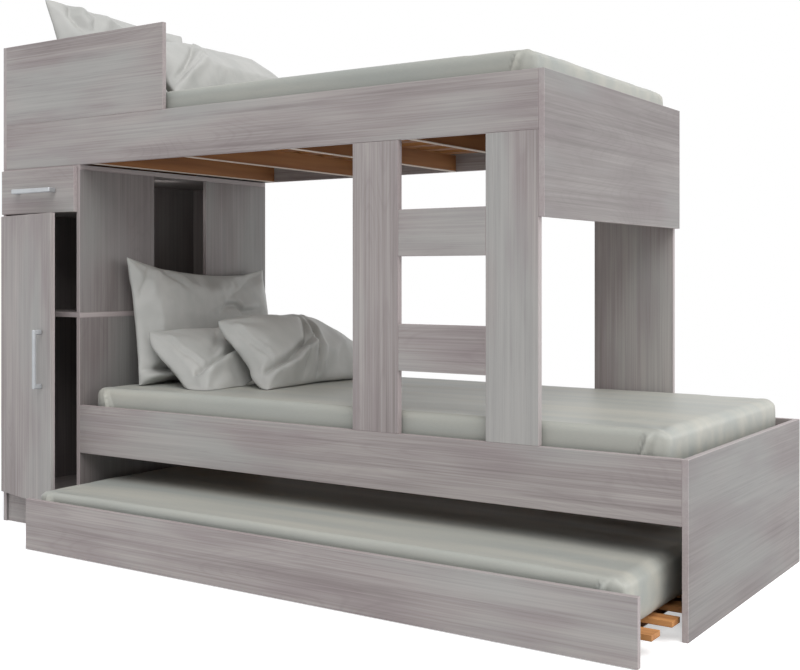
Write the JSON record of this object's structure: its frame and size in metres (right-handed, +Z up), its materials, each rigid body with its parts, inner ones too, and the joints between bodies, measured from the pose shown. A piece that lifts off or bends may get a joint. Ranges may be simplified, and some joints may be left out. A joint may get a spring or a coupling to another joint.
{
  "type": "triple bunk bed",
  "caption": "Bunk bed with a pull-out third bed on castors, a wardrobe and drawer tower at its head, a side ladder, slat bases, mattresses and pillows.",
  "frame": {"origin": "centre of the bounding box on the floor, at rest with the pull-out bed drawn part way out and the wardrobe door ajar", "axes": "+X along the bed from the wardrobe tower to the foot, -Y towards the open front where the pull-out bed rolls out, +Z up"},
  "size_m": [2.354, 1.158, 1.7628],
  "materials": {
    "laminate": "matt melamine board with a grey oak grain and matching edge bands",
    "slat_wood": "plain sawn softwood slats on bearers",
    "aluminium": "satin anodised strap",
    "hinge_steel": "plated steel",
    "castor_plastic": "black moulded plastic",
    "satin_fabric": "pale grey-green satin weave"
  },
  "bodies": {
    "frame": {"tower_left_side": "laminate", "lower_head_panel": "laminate", "tower_mid_board": "laminate", "tower_upper_front_side": "laminate", "tower_upper_rear_side": "laminate", "tower_top_board": "laminate", "tower_rear_panel": "laminate", "wardrobe_lower_back": "laminate", "wardrobe_upper_back": "laminate", "wardrobe_bottom": "laminate", "tower_plinth": "laminate", "drawer_divider": "laminate", "lower_hinge_arm": "hinge_steel", "upper_hinge_arm": "hinge_steel", "drawer_left_runner": "hinge_steel", "drawer_right_runner": "hinge_steel", "upper_head_panel": "laminate", "guard_board": "laminate", "upper_front_rail": "laminate", "upper_rear_rail": "laminate", "upper_foot_panel": "laminate", "upper_slat_base": "slat_wood", "ladder_left_stile": "laminate", "ladder_right_stile": "laminate", "ladder_lower_rung": "laminate", "ladder_upper_rung": "laminate", "rear_post": "laminate", "lower_front_rail": "laminate", "lower_rear_rail": "laminate", "lower_foot_panel": "laminate", "lower_slat_base": "slat_wood", "upper_mattress": "satin_fabric", "lower_mattress": "satin_fabric", "upper_back_pillow": "satin_fabric", "upper_front_pillow": "satin_fabric", "lower_back_pillow": "satin_fabric", "lower_middle_pillow": "satin_fabric", "lower_front_pillow": "satin_fabric"},
    "door": {"door": "laminate", "door_handle": "aluminium", "lower_hinge_cup": "hinge_steel", "upper_hinge_cup": "hinge_steel"},
    "drawer": {"drawer_front": "laminate", "drawer_left_side": "laminate", "drawer_right_side": "laminate", "drawer_back": "laminate", "drawer_bottom": "laminate", "drawer_handle": "aluminium"},
    "trundle": {"trundle_front_board": "laminate", "trundle_rear_board": "laminate", "trundle_slat_base": "slat_wood", "trundle_mattress": "satin_fabric", "front_left_castor_bracket": "castor_plastic", "front_right_castor_bracket": "castor_plastic", "rear_left_castor_bracket": "castor_plastic", "rear_right_castor_bracket": "castor_plastic"},
    "front_left_wheel": {"front_left_castor_wheel": "castor_plastic"},
    "front_right_wheel": {"front_right_castor_wheel": "castor_plastic"},
    "rear_left_wheel": {"rear_left_castor_wheel": "castor_plastic"},
    "rear_right_wheel": {"rear_right_castor_wheel": "castor_plastic"}
  },
  "joints": [
    {"name": "door_hinge", "type": "hinge", "parent": "frame", "child": "door", "pos_m": [-1.1665, -0.3415, 0.5582], "axis": [0, 0, -1], "range_deg": [-13.5, 78.5]},
    {"name": "drawer_slide", "type": "slide", "parent": "frame", "child": "drawer", "axis": [0, -1, 0], "range_m": [0, 0.22]},
    {"name": "trundle_roll", "type": "slide", "parent": "frame", "child": "trundle", "axis": [0, -1, 0], "range_m": [-0.238, 0.55]},
    {"name": "front_left_wheel_spin", "type": "hinge", "parent": "trundle", "child": "front_left_wheel", "pos_m": [-0.7437, -0.5375, 0.0175], "axis": [1, 0, 0], "continuous": true},
    {"name": "front_right_wheel_spin", "type": "hinge", "parent": "trundle", "child": "front_right_wheel", "pos_m": [1.1253, -0.5375, 0.0175], "axis": [1, 0, 0], "continuous": true},
    {"name": "rear_left_wheel_spin", "type": "hinge", "parent": "trundle", "child": "rear_left_wheel", "pos_m": [-0.7437, 0.2085, 0.0175], "axis": [1, 0, 0], "continuous": true},
    {"name": "rear_right_wheel_spin", "type": "hinge", "parent": "trundle", "child": "rear_right_wheel", "pos_m": [1.1253, 0.2085, 0.0175], "axis": [1, 0, 0], "continuous": true}
  ],
  "couplings": [
    {"joint": "front_left_wheel_spin", "follows": "trundle_roll", "rad_per_m": 57.143},
    {"joint": "front_right_wheel_spin", "follows": "trundle_roll", "rad_per_m": 57.143},
    {"joint": "rear_left_wheel_spin", "follows": "trundle_roll", "rad_per_m": 57.143},
    {"joint": "rear_right_wheel_spin", "follows": "trundle_roll", "rad_per_m": 57.143}
  ]
}
